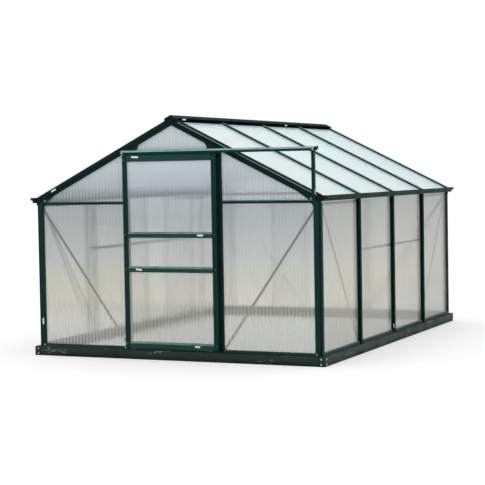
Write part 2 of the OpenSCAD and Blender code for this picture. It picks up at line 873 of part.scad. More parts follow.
base_front();
base_back();
base_left();
base_right();
side_sills();
end_sills();
corner_posts();
left_studs();
right_studs();
back_studs();
left_gutter();
right_gutter();
gutter_end_caps();
ridge_beam();
ridge_end_caps();
front_rafters();
back_rafters();
left_roof_bars();
right_roof_bars();
door_jambs();
door_head();
front_eave_rails();
back_eave_rails();
front_gussets();
back_gussets();
front_braces();
back_braces();
side_braces();
side_straps();
front_panels();
back_panels();
left_wall_panels();
right_wall_panels();
left_roof_panels();
right_roof_panels();
door_track();
track_stops();
track_post();
door_guide();
door_stiles();
door_rails();
door_panels();
door_hangers();
door_wheels();
door_glides();
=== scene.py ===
"""Looks of the polycarbonate greenhouse: fluted sheets, bolts, stickers, materials, camera and light.

Metres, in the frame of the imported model: +Z up, the front gable with the door faces -Y.
"""
import json
import math

import bmesh
import bpy
from mathutils import Matrix, Vector


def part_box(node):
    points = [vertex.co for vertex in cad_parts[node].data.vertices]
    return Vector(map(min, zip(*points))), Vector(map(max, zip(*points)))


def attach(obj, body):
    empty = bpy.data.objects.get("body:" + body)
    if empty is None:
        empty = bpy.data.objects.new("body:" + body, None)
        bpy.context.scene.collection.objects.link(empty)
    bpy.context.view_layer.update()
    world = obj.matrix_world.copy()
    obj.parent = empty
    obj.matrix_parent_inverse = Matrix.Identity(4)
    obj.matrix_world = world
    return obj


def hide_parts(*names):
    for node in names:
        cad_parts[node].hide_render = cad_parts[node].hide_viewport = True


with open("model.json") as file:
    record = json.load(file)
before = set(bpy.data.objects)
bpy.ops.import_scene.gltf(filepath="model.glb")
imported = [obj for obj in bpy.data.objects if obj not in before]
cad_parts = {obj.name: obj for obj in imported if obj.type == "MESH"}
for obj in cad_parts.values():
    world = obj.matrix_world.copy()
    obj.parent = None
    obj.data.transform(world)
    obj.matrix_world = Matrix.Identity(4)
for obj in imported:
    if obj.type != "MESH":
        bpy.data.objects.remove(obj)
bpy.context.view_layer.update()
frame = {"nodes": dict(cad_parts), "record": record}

X = Vector((1, 0, 0))
Y = Vector((0, 1, 0))
Z = Vector((0, 0, 1))

# Camera, as fitted to the photograph
CAMERA_PLACE = Vector((5.0596, -11.5583, 1.4573))
CAMERA_YAW = -0.42443
CAMERA_PITCH = -0.05001
CAMERA_ROLL = -0.01756
CAMERA_LENS = 107.344
CAMERA_REACH = 200
SENSOR = 36.0

# Twin-wall sheets: the skins dip a little between the ribs, and hazy stripes run along them
FLUTE_PITCH = 0.010
FLUTE_DIP = 0.00032
FLUTE_STEPS = 4
HAZE_PITCH = 0.030
# Painted shade on the hazy stripes, which grows with how much hazier they are than the clear ones
HAZE_SHADE = 0.45
MILK_DEPTH = 0.002
SHEET_GLASS = {"IOR": 1.45, "Roughness": 0.05, "Specular_IOR_Level": 0.3}
STREAK = (0.52, 0.55, 0.55)
CLEAR_SKIN = ((0.97, 0.98, 0.98), (0.99, 0.99, 0.99))

# Light of the sky, which grows towards the zenith
SKY_LOW = 0.40
SKY_RISE = 0.90

# Floor: half its side, its colour to other surfaces, its shades and glow where it is seen
FLOOR_HALF = 60.0
FLOOR_BOUNCE = (0.81, 0.81, 0.80)
FLOOR_SHADES = ((0.78, 0.78, 0.78), (0.80, 0.80, 0.80))
FLOOR_GLOW = 0.30

# Powder coat of the frame
COAT_DARK = (0.0045, 0.033, 0.0265)
COAT_LIGHT = (0.0065, 0.042, 0.034)
# Painted highlight for the faces that look up towards the sky
SKY_HIGHLIGHT = (0.27, 0.46, 0.44)
SCUFF = (0.06, 0.11, 0.10)
DUST = (0.14, 0.165, 0.152)

# Lit and shaded copies of the frame's coat for groups of parts: painted light level (below 1 painted
# shade, above 1 painted light), painted highlight on the upper faces, dust, gloss, nodes
FRAME_LOOKS = {
    "track": (1.0, 1.0, 0.0, 0.05, ("door_track",)),
    "door_rails": (1.5, 0.5, 0.07, 0.05, ("door_rails",)),
    "sills": (1.4, 0.4, 0.20, 0.05, ("end_sills", "side_sills")),
    "eaves": (0.40, 0.28, 0.0, 0.03, ("front_eave_rails", "back_eave_rails")),
    "shaded": (0.5, 0.0, 0.0, 0.05, ("door_jambs",)),
    "rafters": (0.55, 0.0, 0.0, 0.03, ("front_rafters",)),
    "roof_bars": (1.7, 0.40, 0.0, 0.05, ("left_roof_bars", "right_roof_bars", "back_rafters")),
    "ridge": (0.15, 0.10, 0.0, 0.0, ("ridge_beam",)),
    "studs": (0.45, 0.0, 0.0, 0.02, ("left_studs", "right_studs")),
    "gutters": (0.8, 0.22, 0.0, 0.02, ("left_gutter", "right_gutter")),
}

# Base steel: its paint, the share of dust at the ends, the share of dust and painted sheen on the sides,
# which are lighter where the light falls on them, and painted shade that darkens it up to a height above
# the ground
STEEL_DARK = (0.009, 0.025, 0.021)
STEEL_LIGHT = (0.020, 0.041, 0.035)
SCRATCH = (0.34, 0.36, 0.34)
END_DUST = 0.30
# The sides carry dust and a painted sheen, which makes them lighter than the ends
SIDE_DUST_AND_SHEEN = 0.6
SHEENED_SIDE_NODES = ("base_left", "base_right")
GROUND_SHADE = (0.006, 0.008, 0.007)
GROUND_SHADE_TOP = 0.045

# Plastics, zinc and paper; nylon has shares of darkening at its lightest and darkest: dirt on the wheels,
# and on the glides a darkening nearly all over
PLASTIC = (0.007, 0.008, 0.008)
PLASTIC_DUST = (0.15, 0.16, 0.155)
NYLON = (0.70, 0.70, 0.65)
NYLON_DARK = (0.025, 0.030, 0.027)
WHEEL_DIRT = (0.0, 0.4)
GLIDE_DARKENING = (0.97, 1.0)
STRIP_ZINC = (0.05, 0.053, 0.05)
BRIGHT_ZINC = (0.72, 0.73, 0.72)
DULL_ZINC = (0.30, 0.31, 0.30)
STICKER_WHITE = (0.92, 0.93, 0.92)

# Slope of the roof, read from the widest upper face of its sheets
ROOF_FACES = [face for face in frame["nodes"]["right_roof_panels"].data.polygons if face.normal.z > 0.1]
ROOF_NORMAL = max(ROOF_FACES, key=lambda face: face.area).normal
SLOPE = math.atan2(ROOF_NORMAL.x, ROOF_NORMAL.z)

# Colours of the sheets by height: their own pale tint, with painted light and shade for the brightness
# and hue of what shows through and off them. (height, colour)
TINT_TOP = 1.9
END_TINT_AND_LIGHT = (
    (0.10, (0.99, 0.99, 0.945)), (0.30, (0.98, 0.98, 0.91)), (0.52, (0.83, 0.82, 0.705)),
    (0.80, (0.68, 0.71, 0.72)), (1.10, (0.55, 0.595, 0.605)), (1.20, (0.55, 0.60, 0.615)),
    (1.27, (0.715, 0.785, 0.83)), (1.55, (0.80, 0.885, 0.93)),
)
DOOR_TINT_AND_LIGHT = (
    (0.10, (0.867, 0.857, 0.81)), (0.30, (0.89, 0.88, 0.82)), (0.52, (0.93, 0.92, 0.81)),
    (0.80, (0.788, 0.825, 0.85)), (1.10, (0.65, 0.725, 0.755)), (1.27, (0.73, 0.816, 0.88)),
    (1.55, (0.765, 0.862, 0.925)),
)
SIDE_TINT_AND_LIGHT = (
    (0.10, (0.65, 0.64, 0.60)), (0.52, (0.66, 0.645, 0.515)), (0.85, (0.55, 0.555, 0.515)),
    (1.15, (0.44, 0.46, 0.43)),
)
ROOF_TINT_AND_LIGHT = ((1.25, (0.76, 0.965, 0.99)), (1.85, (0.76, 0.985, 1.00)))

# Colour that the side and roof sheets shift to, more and more towards the back, which darkens them there:
# colour at the back, where the shift starts and where it is full, and its share there
SIDE_BACK_TONE = (0.37, 0.385, 0.365)
ROOF_BACK_TONE = (0.60, 0.80, 0.82)
BACK_TONE_FROM = -0.6
BACK_TONE_FULL = 1.6
BACK_TONE_SHARE = 0.6

# Clearness of the sheets by height: (height, clearness of the hazy stripes, of the clear stripes)
END_CLEAR = (
    (0.36, 0.46, 0.72), (0.50, 0.63, 0.65), (1.20, 0.64, 0.67), (1.24, 0.50, 0.67),
    (1.30, 0.44, 0.65), (1.35, 0.30, 0.42), (1.50, 0.16, 0.26),
)
DOOR_CLEAR = (
    (0.36, 0.50, 0.72), (0.50, 0.62, 0.64), (1.20, 0.65, 0.67), (1.30, 0.58, 0.66),
    (1.35, 0.36, 0.40), (1.50, 0.20, 0.22),
)
SIDE_CLEAR = ((0.45, 0.52, 0.66), (0.60, 0.58, 0.66))
ROOF_CLEAR = ((1.25, 0.14, 0.20), (1.85, 0.05, 0.10))

# Bolts: width of the head, and the outlines of their parts as (share of half the width, height)
BOLT_SIZE = 0.011
SCREW_SIZE = 0.007
WASHER = ((1.30, 0.0), (1.30, 0.0012), (1.1, 0.0015))
HEAD = ((1.0, 0.0015), (1.0, 0.0048), (0.85, 0.0056))
TIP = ((0.5, 0.0056), (0.5, 0.0072), (0.4, 0.0078))
HEAD_TURN = 0.4

# Places of the bolts, from the edges of the pieces that they hold
BASE_BOLT_IN = 0.030
BASE_BOLT_HALF = 0.019
FOOT_BOLT_RISE = 0.010
GUSSET_BOLT_IN = 0.018
GUSSET_BOLT_RISE = 0.010
POST_BOLT_OUT = 0.012
JAMB_BOLT_OUT = 0.014
TRACK_BOLT_IN = 0.010
TRACK_BOLT_LEVEL = 0.3
SCREW_IN = 0.018
NUT_IN = 0.012
STRIP_END = 0.030

# Strips in the rebates of the gable rafters, which carry a painted highlight on the right-hand slope and
# painted shade on the left
RAFTER_STRIP_THICK = 0.0045
RAFTER_STRIP_PROUD = 0.006
RAFTER_STRIP_SUNK = 0.001
RAFTER_STRIP_END_IN = 0.030
RAFTER_HIGHLIGHT = (0.40, 0.52, 0.48)
RAFTER_SHADE = (0.012, 0.030, 0.026)

# Stickers
STICKER_THICK = 0.0005
STICKER_ROUND = 0.2
CORNER_STEPS = 4

# Lengths below which points or levels count as the same
SAME_POINT = 1e-5
SAME_LEVEL = 2e-4
SAME_PLACE = 1e-4
NO_WIDTH = 1e-7
ROUND_OFF = 1e-9


class Paint:
    """A material with one Principled shader, and short ways to add nodes in front of it."""

    def __init__(self, name, **inputs):
        self.material = bpy.data.materials.new(name)
        self.material.use_nodes = True
        self.tree = self.material.node_tree
        self.shader = self.tree.nodes["Principled BSDF"]
        for socket, value in inputs.items():
            self.set(socket.replace("_", " "), value)
        self.place = self.tree.nodes.new("ShaderNodeTexCoord").outputs["Object"]

    def set(self, socket, value):
        self.join(self.shader.inputs[socket], value)

    def join(self, socket, value):
        if isinstance(value, bpy.types.NodeSocket):
            self.tree.links.new(value, socket)
        elif isinstance(value, (tuple, list)) and len(value) == 3 and socket.type == "RGBA":
            socket.default_value = (*value, 1.0)
        else:
            socket.default_value = value

    def stretched(self, stretch):
        mapping = self.tree.nodes.new("ShaderNodeMapping")
        mapping.inputs["Scale"].default_value = stretch
        self.tree.links.new(self.place, mapping.inputs["Vector"])
        return mapping.outputs["Vector"]

    def noise(self, scale, detail=3.0, stretch=None):
        texture = self.tree.nodes.new("ShaderNodeTexNoise")
        texture.inputs["Scale"].default_value = scale
        texture.inputs["Detail"].default_value = detail
        self.join(texture.inputs["Vector"], self.stretched(stretch) if stretch else self.place)
        return texture.outputs["Fac"]

    def math(self, operation, first, second=0.0):
        node = self.tree.nodes.new("ShaderNodeMath")
        node.operation = operation
        self.join(node.inputs[0], first)
        self.join(node.inputs[1], second)
        return node.outputs[0]

    def spread(self, value, low, high, to_low, to_high):
        node = self.tree.nodes.new("ShaderNodeMapRange")
        node.interpolation_type = "SMOOTHSTEP"
        for index, item in enumerate((value, low, high, to_low, to_high)):
            self.join(node.inputs[index], item)
        return node.outputs["Result"]

    def mix(self, factor, first, second):
        node = self.tree.nodes.new("ShaderNodeMix")
        node.data_type = "RGBA"
        self.join(node.inputs["Factor"], factor)
        self.join(node.inputs["A"], first)
        self.join(node.inputs["B"], second)
        return node.outputs["Result"]

    def ramp(self, value, stops):
        node = self.tree.nodes.new("ShaderNodeValToRGB")
        elements = node.color_ramp.elements
        while len(elements) < len(stops):
            elements.new(0.5)
        for element, (position, colour) in zip(elements, stops):
            element.position = position
            element.color = (*colour, 1.0)
        self.join(node.inputs["Fac"], value)
        return node.outputs["Color"]

    def part(self, vector, axis):
        node = self.tree.nodes.new("ShaderNodeSeparateXYZ")
        self.tree.links.new(vector, node.inputs[0])
        return node.outputs[axis]

    def facing_up(self):
        geometry = self.tree.nodes.new("ShaderNodeNewGeometry")
        return self.part(geometry.outputs["True Normal"], "Z")

    def bump(self, height, distance, strength=1.0):
        node = self.tree.nodes.new("ShaderNodeBump")
        node.inputs["Strength"].default_value = strength
        node.inputs["Distance"].default_value = distance
        self.join(node.inputs["Height"], height)
        self.set("Normal", node.outputs["Normal"])


def green_frame(name, painted_light_level=1.0, top_highlight=0.03, dust=0.0, gloss=0.05):
    """Dark green powder coat: fine orange peel, a few pale scuffs, a painted highlight where it faces up,
    and a painted light level that lightens some parts and shades others.
    """
    paint = Paint(name, Specular_IOR_Level=gloss)
    cloud = paint.noise(2.3, 4.0)
    dark = tuple(painted_light_level * part for part in COAT_DARK)
    light = tuple(painted_light_level * part for part in COAT_LIGHT)
    coat = paint.ramp(cloud, [(0.3, dark), (0.7, light)])
    if dust:
        overlay = paint.spread(paint.noise(6.0, 4.0), 0.3, 0.7, 0.6 * dust, 1.2 * dust)
        coat = paint.mix(overlay, coat, DUST)
    # Painted highlight on the faces that look up, patchy
    highlight_mask = paint.spread(paint.facing_up(), 0.10, 0.28, 0.0, top_highlight)
    wear_and_highlight = paint.math("MULTIPLY", highlight_mask, paint.spread(paint.noise(14.0, 5.0), 0.2, 0.8, 0.7, 1.3))
    highlighted = paint.mix(wear_and_highlight, coat, SKY_HIGHLIGHT)
    scuffs = paint.spread(paint.noise(38.0, 6.0), 0.71, 0.77, 0.0, 0.35)
    paint.set("Base Color", paint.mix(scuffs, highlighted, SCUFF))
    paint.set("Roughness", paint.spread(paint.noise(9.0, 4.0), 0.3, 0.7, 0.30, 0.46))
    paint.bump(paint.noise(900.0, 2.0), 0.0002, 0.3)
    return paint.material


def base_steel(name, dust_and_sheen_share):
    """Dark painted folded steel: uneven sheen, dust (on the sides also a painted sheen), pale wavy
    scratches, and painted shade near the ground.
    """
    paint = Paint(name, Specular_IOR_Level=0.03)
    cloud = paint.noise(3.1, 5.0)
    coat = paint.ramp(cloud, [(0.3, STEEL_DARK), (0.75, STEEL_LIGHT)])
    speckle = paint.spread(paint.noise(55.0, 6.0), 0.45, 0.75, 0.0, 1.0)
    overlay = paint.math("ADD", paint.math("MULTIPLY", speckle, 0.5), 0.5)
    # Dust; on the sides also a painted sheen
    dust = paint.math("MULTIPLY", overlay, paint.spread(paint.noise(2.4, 4.0), 0.3, 0.7, 0.4 * dust_and_sheen_share, dust_and_sheen_share))
    dull = paint.mix(dust, coat, DUST)
    wave = paint.noise(2.2, 4.0, (1.0, 1.0, 9.0))
    from_middle = paint.math("ABSOLUTE", paint.math("SUBTRACT", wave, 0.5))
    scratch = paint.spread(from_middle, 0.0, 0.010, 1.0, 0.0)
    patch = paint.spread(paint.noise(1.9), 0.46, 0.58, 0.0, 0.75)
    wear_and_highlight = paint.mix(paint.math("MULTIPLY", scratch, patch), dull, SCRATCH)
    # Painted shade, darker towards the ground
    unshaded = paint.spread(paint.part(paint.place, "Z"), 0.0, GROUND_SHADE_TOP, 0.25, 1.0)
    paint.set("Base Color", paint.mix(unshaded, GROUND_SHADE, wear_and_highlight))
    paint.set("Roughness", paint.spread(paint.noise(7.0, 4.0), 0.3, 0.7, 0.34, 0.55))
    paint.bump(paint.noise(60.0, 4.0), 0.0004, 0.25)
    return paint.material


def polycarbonate(name, across, tint_and_light, clearness, overlay=None, milky=0.0):
    """Translucent twin-wall sheet: hazy stripes along the flutes with painted shade on them, and a colour
    that changes with height, which is the sheet's tint with painted light and shade.
    """
    paint = Paint(name, **SHEET_GLASS)
    paint.set("Subsurface Weight", milky)
    paint.set("Subsurface Radius", (1.0, 1.0, 1.0))
    paint.set("Subsurface Scale", MILK_DEPTH)
    height = paint.math("DIVIDE", paint.part(paint.place, "Z"), TINT_TOP)
    # Tint with painted light and shade by height
    tint_and_light_colour = paint.ramp(height, [(level / TINT_TOP, colour) for level, colour in tint_and_light])
    if overlay:
        # Darker towards the back
        towards_back = paint.spread(paint.part(paint.place, "Y"), BACK_TONE_FROM, BACK_TONE_FULL, 0.0, BACK_TONE_SHARE)
        tint_and_light_colour = paint.mix(towards_back, tint_and_light_colour, overlay)
    streak = paint.noise(60.0, 2.0, (1.0, 0.02, 0.02) if across == "X" else (0.02, 1.0, 0.02))
    turn = paint.math("MULTIPLY", paint.part(paint.place, across), 2 * math.pi / HAZE_PITCH)
    stripe = paint.spread(paint.math("SINE", turn), -0.6, 0.6, 0.0, 1.0)
    hazy = paint.ramp(height, [(level / TINT_TOP, 3 * (haziest,)) for level, haziest, _ in clearness])
    clear = paint.ramp(height, [(level / TINT_TOP, 3 * (clearest,)) for level, _, clearest in clearness])
    paint.set("Transmission Weight", paint.mix(stripe, hazy, clear))
    # Painted shade on the hazy stripes
    depth = paint.math("MULTIPLY", paint.math("SUBTRACT", clear, hazy), HAZE_SHADE)
    haze = paint.math("SUBTRACT", 1.0, stripe)
    shaded = paint.mix(paint.math("MULTIPLY", haze, depth), tint_and_light_colour, (0, 0, 0))
    paint.set("Base Color", paint.mix(paint.spread(streak, 0.35, 0.75, 0.0, 0.03), shaded, STREAK))
    return paint.material


def clear_skin():
    """The inner skin of a wall sheet: clear, with faint streaks."""
    paint = Paint("clear_skin", **SHEET_GLASS, Transmission_Weight=1.0)
    streak = paint.noise(40.0, 2.0, (1.0, 1.0, 0.02))
    paint.set("Base Color", paint.ramp(streak, list(zip((0.3, 0.7), CLEAR_SKIN))))
    return paint.material


def black_plastic():
    """Black moulded plastic with a fine grain and a little dust."""
    paint = Paint("black_plastic", Specular_IOR_Level=0.05)
    lying = paint.spread(paint.facing_up(), 0.2, 0.9, 0.03, 0.12)
    dust = paint.math("MULTIPLY", lying, paint.noise(25.0, 5.0))
    paint.set("Base Color", paint.mix(dust, PLASTIC, PLASTIC_DUST))
    paint.set("Roughness", paint.spread(paint.noise(40.0), 0.3, 0.7, 0.42, 0.62))
    paint.bump(paint.noise(1200.0, 2.0), 0.0002, 0.4)
    return paint.material


def zinc_steel(name, colour):
    """Dull zinc-plated steel with spangle and long streaks."""
    paint = Paint(name, Metallic=0.7)
    spangle = paint.noise(170.0, 3.0)
    streak = paint.noise(30.0, 3.0, (1.0, 1.0, 0.1))
    dark = tuple(0.6 * part for part in colour)
    paint.set("Base Color", paint.mix(paint.math("MULTIPLY", spangle, streak), dark, colour))
    paint.set("Roughness", paint.spread(streak, 0.3, 0.7, 0.38, 0.58))
    return paint.material


def nylon(name, lightest, darkest):
    """Off-white nylon darkened in patches, as a share of the whole at its lightest and darkest: dirt on
    the wheels, a darkening nearly all over on the glides.
    """
    paint = Paint(name, Specular_IOR_Level=0.1)
    dark_patches = paint.spread(paint.noise(90.0, 4.0), 0.45, 0.75, lightest, darkest)
    paint.set("Base Color", paint.mix(dark_patches, NYLON, NYLON_DARK))
    paint.set("Roughness", paint.spread(paint.noise(50.0), 0.3, 0.7, 0.35, 0.5))
    return paint.material


def soiled(name, colour):
    """Paper of the stickers and the strips that carry painted light, a little soiled."""
    paint = Paint(name)
    dark_patches = paint.spread(paint.noise(70.0, 4.0), 0.50, 0.80, 0.0, 0.4)
    paint.set("Base Color", paint.mix(dark_patches, colour, tuple(0.75 * part for part in colour)))
    paint.set("Roughness", paint.spread(paint.noise(30.0), 0.3, 0.7, 0.45, 0.6))
    return paint.material


def new_piece(name, mesh, body, material):
    """Links a piece of the dressed model and lets it ride on a body."""
    mesh.update()
    piece = bpy.data.objects.new(name, mesh)
    bpy.context.scene.collection.objects.link(piece)
    mesh.materials.append(material)
    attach(piece, body)
    return piece


def mesh_from(shape, name):
    """A mesh made from a finished shape, which is let go."""
    mesh = bpy.data.meshes.new(name)
    shape.to_mesh(mesh)
    shape.free()
    return mesh


def solids_of(node):
    """The points of each separate solid of a CAD node."""
    shape = bmesh.new()
    shape.from_mesh(frame["nodes"][node].data)
    bmesh.ops.remove_doubles(shape, verts=shape.verts, dist=SAME_POINT)
    left = set(shape.verts)
    solids = []
    for start in shape.verts:
        if start not in left:
            continue
        left.remove(start)
        open_ends = [start]
        found = [start]
        while open_ends:
            vert = open_ends.pop()
            near = [edge.other_vert(vert) for edge in vert.link_edges]
            new = [other for other in near if other in left]
            left.difference_update(new)
            open_ends.extend(new)
            found.extend(new)
        solids.append([vert.co.copy() for vert in found])
    shape.free()
    return sorted(solids, key=lambda points: tuple(round(sum(axis), 6) for axis in zip(*points)))


def chain(points, side):
    """The lower (side 1) or upper (side -1) edge of a convex outline, as points from left to right."""
    edge = []
    for point in sorted(set(points)):
        while len(edge) > 1:
            (ax, ay), (bx, by) = edge[-2], edge[-1]
            turn = (bx - ax) * (point[1] - ay) - (by - ay) * (point[0] - ax)
            if side * turn > 0:
                break
            edge.pop()
        edge.append(point)
    return edge


def along_chain(edge, across):
    """Where a chain lies at one place across the sheet."""
    for (ax, ay), (bx, by) in zip(edge, edge[1:]):
        if across <= bx + ROUND_OFF and bx - ax > NO_WIDTH:
            return ay + (by - ay) * min(max((across - ax) / (bx - ax), 0.0), 1.0)
    return edge[-1][1]


def sheet_face(points, across, along, depth, level):
    """Lower and upper edge of the face of a sheet that lies at one level of depth."""
    at_level = [point for point in points if abs(point.dot(depth) - level) < SAME_LEVEL]
    flat = [(round(point.dot(across), 6), round(point.dot(along), 6)) for point in at_level]
    lower = chain(flat, 1)
    upper = chain(flat, -1)
    for index, side in ((0, min(flat)[0]), (-1, max(flat)[0])):
        heights = [height for place, height in flat if place == side]
        lower[index] = (side, min(heights))
        upper[index] = (side, max(heights))
    return lower, upper


def flute_stops(left, right, corners):
    """Places across a sheet where its mesh has points: the steps of each flute, and the corners."""
    step = FLUTE_PITCH / FLUTE_STEPS
    first = math.ceil(left / step + 0.25)
    last = math.floor(right / step - 0.25)
    places = [left] + [index * step for index in range(first, last + 1)] + [right]
    extra = [corner for corner in corners if min(abs(corner - place) for place in places) > SAME_PLACE]
    return sorted(places + extra)


def add_fluted_sheet(shape, points, across, along, depth):
    """One closed sheet with its skins dipped between the ribs. depth points outwards."""
    levels = [max(point.dot(depth) for point in points), min(point.dot(depth) for point in points)]
    faces = [sheet_face(points, across, along, depth, level) for level in levels]
    corners = [place for lower, upper in faces for place, height in lower + upper]
    places = flute_stops(min(corners), max(corners), corners)
    rows = []
    for place in places:
        at_edge = place in (places[0], places[-1])
        dip = 0.0 if at_edge else FLUTE_DIP * math.sin(math.pi * place / FLUTE_PITCH) ** 2
        row = []
        for (lower, upper), level, inward in zip(faces, levels, (-1, 1)):
            for edge in (lower, upper):
                flat = across * place + along * along_chain(edge, place)
                row.append(shape.verts.new(flat + depth * (level + inward * dip)))
        rows.append(row)
    for (a0, a1, b0, b1), (c0, c1, d0, d1) in zip(rows, rows[1:]):
        skins = [shape.faces.new((a0, c0, c1, a1)), shape.faces.new((d0, b0, b1, d1))]
        for index, face in enumerate(skins):
            face.smooth = True
            face.material_index = index
        shape.faces.new((a1, c1, d1, b1))
        shape.faces.new((c0, a0, b0, d0))
    shape.faces.new((rows[0][0], rows[0][1], rows[0][3], rows[0][2]))
    shape.faces.new((rows[-1][1], rows[-1][0], rows[-1][2], rows[-1][3]))


def fluted_sheets(name, node, body, across, along, depth, outer, inner):
    """The sheets of one CAD node, with their flutes and the materials of both skins."""
    shape = bmesh.new()
    for points in solids_of(node):
        add_fluted_sheet(shape, points, across, along, depth)
    bmesh.ops.recalc_face_normals(shape, faces=shape.faces)
    for edge in shape.edges:
        edge.smooth = all(face.smooth for face in edge.link_faces)
    mesh = mesh_from(shape, name)
    piece = new_piece(name, mesh, body, outer)
    mesh.materials.append(inner)
    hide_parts(node)


def facing(place, normal):
    """A frame at a place, with its local z along a level normal."""
    side = Z.cross(normal).normalized()
    top = normal.cross(side)
    return Matrix.Translation(place) @ Matrix((side, top, normal)).transposed().to_4x4()


def add_ring(shape, place, radius, height, sides, turn=0.0):
    """A ring of points round the local z axis of a place."""
    ring = []
    for index in range(sides):
        angle = turn + 2 * math.pi * index / sides
        point = Vector((radius * math.cos(angle), radius * math.sin(angle), height))
        ring.append(shape.verts.new(place @ point))
    return ring


def add_turned(shape, place, outline, sides, turn=0.0):
    """A closed solid from rings, given as (radius, height) from the bottom up."""
    rings = [add_ring(shape, place, radius, height, sides, turn) for radius, height in outline]
    shape.faces.new(list(reversed(rings[0])))
    for low, high in zip(rings, rings[1:]):
        for index in range(sides):
            after = (index + 1) % sides
            shape.faces.new((low[index], low[after], high[after], high[index]))
    shape.faces.new(rings[-1])


def add_bolt(shape, place, normal, size):
    """A washer and a hexagon head, or a nut with the bolt's end in it."""
    at = facing(place, normal)
    half = size / 2
    for outline, sides, turn in ((WASHER, 16, 0.0), (HEAD, 6, HEAD_TURN), (TIP, 10, 0.0)):
        add_turned(shape, at, [(share * half, height) for share, height in outline], sides, turn)


def bolts(name, body, places, material, size=BOLT_SIZE):
    """Bolts as one mesh, from (place, normal) pairs."""
    shape = bmesh.new()
    for place, normal in places:
        add_bolt(shape, Vector(place), Vector(normal), size)
    new_piece(name, mesh_from(shape, name), body, material)


def add_sticker(shape, place, normal, width, height, tilt=0.0):
    """A blank sticker with round corners, just proud of the face that it is on."""
    at = facing(place, normal) @ Matrix.Rotation(tilt, 4, "Z")
    radius = STICKER_ROUND * min(width, height)
    outline = []
    for quarter, (sx, sy) in enumerate(((1, 1), (-1, 1), (-1, -1), (1, -1))):
        for step in range(CORNER_STEPS):
            angle = math.pi / 2 * (quarter + step / (CORNER_STEPS - 1))
            centre = (sx * (width / 2 - radius), sy * (height / 2 - radius))
            outline.append((centre[0] + radius * math.cos(angle), centre[1] + radius * math.sin(angle)))
    low = [shape.verts.new(at @ Vector((x, y, 0.0))) for x, y in outline]
    high = [shape.verts.new(at @ Vector((x, y, STICKER_THICK))) for x, y in outline]
    shape.faces.new(list(reversed(low)))
    shape.faces.new(high)
    for index in range(len(low)):
        after = (index + 1) % len(low)
        shape.faces.new((low[index], low[after], high[after], high[index]))


def stickers(name, body, places, material):
    """Blank stickers as one mesh, from (place, normal, width, height, tilt) sets."""
    shape = bmesh.new()
    for place, normal, width, height, tilt in places:
        add_sticker(shape, Vector(place), Vector(normal), width, height, tilt)
    new_piece(name, mesh_from(shape, name), body, material)


def dress_frame():
    """Gives every CAD node the material of its slot in the record, or a look of its own."""
    finishes = {
        "green_frame": green_frame("green_frame"),
        "base_steel": base_steel("base_steel", END_DUST),
        "black_plastic": black_plastic(),
        "zinc_steel": zinc_steel("zinc_steel", STRIP_ZINC),
        "nylon": nylon("nylon", *WHEEL_DIRT),
        "polycarbonate": polycarbonate("polycarbonate_plain", "X", END_TINT_AND_LIGHT, END_CLEAR),
    }
    special = dict.fromkeys(SHEENED_SIDE_NODES, base_steel("base_steel_dust_and_sheen", SIDE_DUST_AND_SHEEN))
    special["door_glides"] = nylon("nylon_dark_glides", *GLIDE_DARKENING)
    for look, (painted_light_level, top_highlight, dust, gloss, nodes) in FRAME_LOOKS.items():
        coat = green_frame("green_frame_" + look, painted_light_level, top_highlight, dust, gloss)
        special.update(dict.fromkeys(nodes, coat))
    for part in frame["record"]["subparts"]:
        node = frame["nodes"][part["node"]]
        node.data.materials.clear()
        node.data.materials.append(special.get(part["node"], finishes[part["material_slot"]]))


def build_sheets():
    """Fluted sheets in the place of the plain CAD sheets."""
    inside = clear_skin()
    end_wall = polycarbonate("polycarbonate_end", "X", END_TINT_AND_LIGHT, END_CLEAR)
    door = polycarbonate("polycarbonate_door", "X", DOOR_TINT_AND_LIGHT, DOOR_CLEAR)
    side_wall = polycarbonate("polycarbonate_side", "Y", SIDE_TINT_AND_LIGHT, SIDE_CLEAR, SIDE_BACK_TONE)
    roof = polycarbonate("polycarbonate_roof", "Y", ROOF_TINT_AND_LIGHT, ROOF_CLEAR, ROOF_BACK_TONE, 1.0)
    fluted_sheets("front_sheets", "front_panels", "house", X, Z, -Y, end_wall, inside)
    fluted_sheets("back_sheets", "back_panels", "house", X, Z, Y, end_wall, inside)
    fluted_sheets("door_sheets", "door_panels", "door", X, Z, -Y, door, inside)
    fluted_sheets("right_wall_sheets", "right_wall_panels", "house", Y, Z, X, side_wall, inside)
    fluted_sheets("left_wall_sheets", "left_wall_panels", "house", Y, Z, -X, side_wall, inside)
    fall, rise = math.cos(SLOPE), math.sin(SLOPE)
    for side, name in ((1, "right"), (-1, "left")):
        down = Vector((side * fall, 0, -rise))
        out = Vector((side * rise, 0, fall))
        fluted_sheets(f"{name}_roof_sheets", f"{name}_roof_panels", "house", Y, down, out, roof, roof)


def add_prism(shape, front, back):
    """A closed solid between two outlines with the same number of points."""
    near = [shape.verts.new(point) for point in front]
    far = [shape.verts.new(point) for point in back]
    shape.faces.new(near)
    shape.faces.new(list(reversed(far)))
    for index in range(len(near)):
        after = (index + 1) % len(near)
        shape.faces.new((near[after], near[index], far[index], far[after]))


